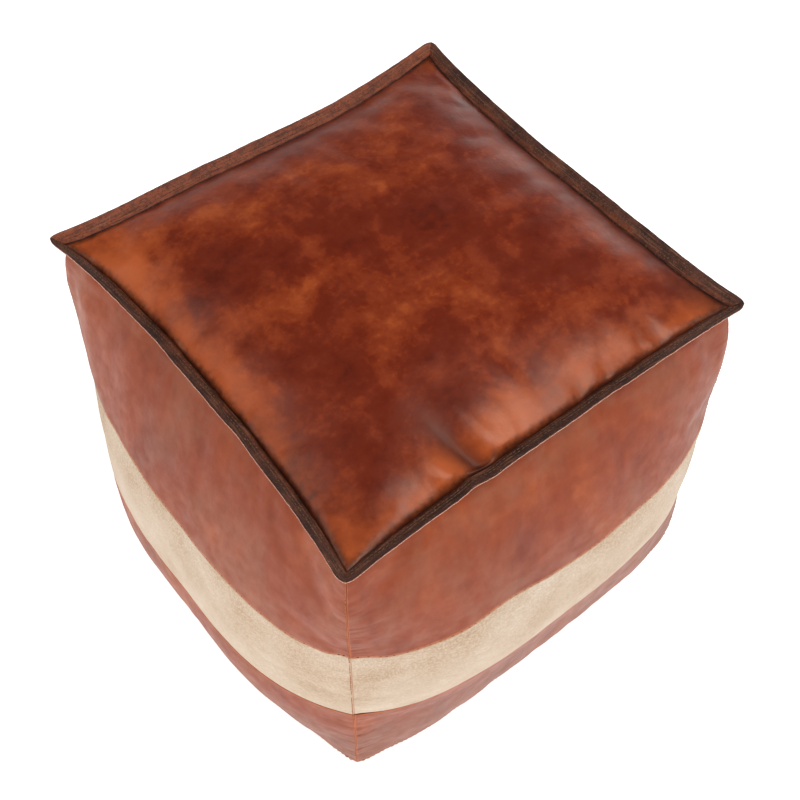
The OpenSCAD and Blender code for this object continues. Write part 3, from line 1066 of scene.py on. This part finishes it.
def make_base(leather):
    """The two halves of the base, drawn up into a channel along the zip. Their rows run
    from the zip's slot out to the outline, and are closer on the channel's wall."""
    recess_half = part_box("zip_top_stops")[0].x / MM + 2
    slot_half = recess_half + 2
    for sign, side, order in ((-1, "front", (LEFT, FRONT, RIGHT)), (1, "back", (RIGHT, BACK, LEFT))):
        outline = base_outline(order)
        along = np.linspace(-1, 1, len(outline)) * -sign
        inner_x = along * np.abs(outline[[0, -1], 0]).min() * 0.995
        inner_x[0], inner_x[-1] = outline[0, 0], outline[-1, 0]
        inner_y = sign * SLOT_HALF_WIDTH * (np.abs(inner_x) < slot_half)
        inner = np.stack([inner_x, inner_y], -1)

        walls = []
        for away in (0.0, RECESS_WALL):
            low, high = np.zeros(len(outline)), np.ones(len(outline))
            for _ in range(30):
                middle = (low + high) / 2
                place = inner + (outline - inner) * middle[:, None]
                inside = off_channel(place, recess_half) < away
                low, high = np.where(inside, middle, low), np.where(inside, high, middle)
            walls.append(low)
        foot, head = walls
        parts = [foot * t for t in np.linspace(0, 1, 6)[:-1]]
        parts += [foot + (head - foot) * t for t in np.linspace(0, 1, 6)[:-1]]
        parts += [head + (1 - head) * t for t in np.linspace(0, 0.97, 26)]
        parts += [np.full(len(outline), part) for part in (0.985, 0.994, 1.0)]
        plan = np.stack([inner + (outline - inner) * part[:, None] for part in parts])
        away = off_channel(plan, recess_half)
        to_edge = np.linalg.norm(outline[None] - plan, axis=-1)
        lumps = 0.7 * (0.5 + 0.5 * field(500, plan[..., 0] / 40, plan[..., 1] / 40))
        z = RECESS * smooth(1 - away / RECESS_WALL) + 1.3 * np.exp(-to_edge / 2.0)
        z = z + lumps * smooth(away / 20) * smooth(to_edge / 20)
        outer = np.concatenate([plan, z[..., None]], -1)
        inner_face = outer + np.array([0, 0, LEATHER * 0.9])
        piece = sheet_piece("base_" + side + "_leather", outer, inner_face, [leather])
        finish_piece(piece, "base_panel_" + side)


def stitches(name, paths, length, gap, radius, material, skip=None):
    """A row of short rounded stitches along each path of points, whose ends go down into
    the leather. A skip draws what some gaps have more than others."""
    sides, flat = 6, 0.7
    # For each ring of a stitch: its place along it, its share of the radius, and its lift
    rings = ((0, 0.35, -0.8), (0.14, 0.85, 0), (0.5, 1.0, 0.25), (0.86, 0.85, 0), (1, 0.35, -0.8))
    around = np.arange(sides) * 2 * math.pi / sides
    points, faces = [], []
    rng = np.random.default_rng(len(name) * 31)
    for path, normal in paths:
        step = np.linalg.norm(np.diff(path, axis=0), axis=1)
        where = np.concatenate([[0], np.cumsum(step)])
        at = gap
        while at + length < where[-1]:
            long = length * rng.uniform(0.9, 1.08)
            ends = [
                np.array([np.interp(at + s, where, path[:, c]) for c in range(3)])
                for s in (0, long)
            ]
            up = np.array([np.interp(at, where, normal[:, c]) for c in range(3)])
            at += long + gap * rng.uniform(0.8, 1.3) + (skip(rng) if skip else 0)
            along = ends[1] - ends[0]
            along /= np.linalg.norm(along)
            side = np.cross(along, up)
            side /= np.linalg.norm(side)
            up = np.cross(side, along)
            lean = rng.uniform(-0.12, 0.12)
            start = len(points)
            for s, grow, lift in rings:
                middle = ends[0] * (1 - s) + ends[1] * s
                middle = middle + up * lift * radius + side * lean * (s - 0.5) * long
                for angle in around:
                    out = math.cos(angle) * side + flat * math.sin(angle) * up
                    points.append(middle + radius * grow * out)
            for ring in range(len(rings) - 1):
                near = start + ring * sides
                for a in range(sides):
                    b = (a + 1) % sides
                    faces.append((near + a, near + b, near + sides + b, near + sides + a))
            faces.append(tuple(start + a for a in reversed(range(sides))))
            faces.append(tuple(start + (len(rings) - 1) * sides + a for a in range(sides)))
    return make_piece(name, np.array(points), faces, [material], sharp=60)


def make_rim_threads(yarn_paint):
    """Two rows of stitches, seen from above and from below the rim."""
    share = np.linspace(-1, 1, 320)
    up = np.tile([0.0, 0.0, 1.0], (len(share), 1))
    for row, t in zip(("outer", "inner"), ROWS):
        paths = []
        for k in range(4):
            for facing in (1, -1):
                z = RIM_MID + facing * LEATHER + rim_lift(t) - 0.1
                paths.append((rim_point(k, share, t, z), up * facing))
        piece = stitches("rim_" + row + "_stitches", paths, 3.3, 1.0, 0.4, yarn_paint)
        finish_piece(piece, "rim_" + row + "_thread")


def make_side_threads(tan, dark):
    """Stitches beside the corner seams, and in the seams of the stripe and the base."""
    heights = np.linspace(BASE_TOP + 6, SEAM - 6, 200)
    paths = []
    for k in range(4):
        beside = 1 - np.array([1.6, 1.3, 1.0]) / CORNER
        s, z = np.meshgrid(beside, heights)
        line = side_surface(k, s, z, 0.15)[:, 1]
        normal = np.tile(to_world(k, DIAGONAL, DIAGONAL, 0.0), (len(heights), 1))
        paths.append((line, normal))
    piece = stitches("corner_stitches", paths, 4.2, 0.7, 0.5, tan)
    finish_piece(piece, "corner_seam_threads")

    for name, height, node in (
        ("stripe_upper_stitches", STRIPE_HIGH, "stripe_upper_thread"),
        ("stripe_lower_stitches", STRIPE_LOW, "stripe_lower_thread"),
        ("base_stitches", BASE_TOP + 2.2, "base_seam_thread"),
    ):
        in_stripe = "stripe" in name
        paths = []
        for k in range(4):
            s, z = np.meshgrid(np.linspace(-0.985, 0.985, 300), height + np.array([-0.4, 0, 0.4]))
            line = side_surface(k, s, z, -0.7 if in_stripe else 0.1)[1]
            out = line - to_world(k, s[1] * 200, 0 * s[1], z[1])
            out[:, 2] = 0
            out /= np.linalg.norm(out, axis=1, keepdims=True)
            paths.append((line, out))
        if in_stripe:
            # Most of these are sunk in the seam, so that only some show.
            piece = stitches(name, paths, 2.6, 1.5, 0.55, dark, lambda rng: rng.uniform(1, 9))
        else:
            piece = stitches(name, paths, 4.2, 1.4, 0.55, tan)
        finish_piece(piece, node)


def closed_blob(name, inset, low, material):
    """A closed stuffed shape inside the cover, that far in from it, and low at its bottom."""
    share = np.linspace(-1, 1, 40)[:-1]
    rows = []
    for z in np.concatenate([[low], np.linspace(low + 6, SEAM - 6, 30)]):
        ring = []
        for k in range(4):
            half = corner_half(z) - inset
            x = share * half
            bottom = 5 * hump(z, low, 5)
            d = half + swell(k, z) * (1 - np.abs(share) ** SQUARENESS) - bottom
            d = d - pull(k, x) * smooth((z - 240) / (SEAM - 240)) - 2 * hump(z, SEAM, 14)
            ring.append(to_world(k, x, d, z))
        rows.append(np.concatenate(ring))
    for part in (0.97, 0.9, 0.8, 0.66, 0.5, 0.34, 0.18, 0.06):
        ring = []
        for k in range(4):
            half = part * (CREASE - inset - 1)
            x, y, _ = to_world(k, share * half, half, 0.0).T
            a, b = top_place(x, y)
            z = RIM_MID + top_height(x, y) - inset * 1.3
            ring.append(np.stack([a, b, z], -1))
        rows.append(np.concatenate(ring))
    bottom = []
    for part in (0.15, 0.5, 0.85):
        flat = rows[0].copy()
        flat[:, :2] *= part
        bottom.append(flat)
    rows = bottom + rows
    n = len(rows[0])
    points = np.concatenate(rows)
    faces = []
    for start in range(0, (len(rows) - 1) * n, n):
        for a in range(n):
            b = (a + 1) % n
            faces.append((start + a, start + b, start + n + b, start + n + a))
    faces.append(tuple(reversed(range(n))))
    faces.append(tuple((len(rows) - 1) * n + i for i in range(n)))
    return make_piece(name, points, faces, [material])


def dress(node, material):
    """Give a CAD node that stays in view its material."""
    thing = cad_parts[node]
    thing.data.materials.clear()
    thing.data.materials.append(material)


# ---- the scene

camera()
studio()

inflate()

leather_top = top_leather()
leather_side = side_leather()
make_top(leather_top, rim_leather())
make_bands(leather_side, raw_edge(), suede())
tan = yarn("tan_yarn", tint(140, 70, 34), tint(204, 124, 72))
grey = yarn("grey_yarn", tint(62, 40, 28), tint(128, 98, 74))
dark = yarn("dark_yarn", tint(40, 24, 16), tint(84, 56, 40))
make_rim_threads(grey)
make_side_threads(tan, dark)

cotton = woven("cotton_weave", tint(196, 188, 170), tint(236, 230, 216), 1.6)
bag = closed_blob("cotton_bag", 8.0, 11.0, cotton)
finish_piece(bag, "inner_bag")
wadding = yarn("loose_fill", tint(190, 184, 172), tint(236, 232, 224), 6)
filling = closed_blob("stuffing_fill", 9.5, 12.5, wadding)
finish_piece(filling, "stuffing")

make_base(base_leather())
for side in ("front", "back"):
    tape = woven("zip_tape_weave_" + side, tint(36, 22, 16), tint(78, 54, 42), 1.0)
    dress("zip_tape_" + side, tape)
    dress("zip_coil_" + side, nylon())
metal = brass()
for node in ("zip_top_stops", "zip_bottom_stop", "zip_slider", "zip_pull"):
    dress(node, metal)
dress("zip_stitching", grey)
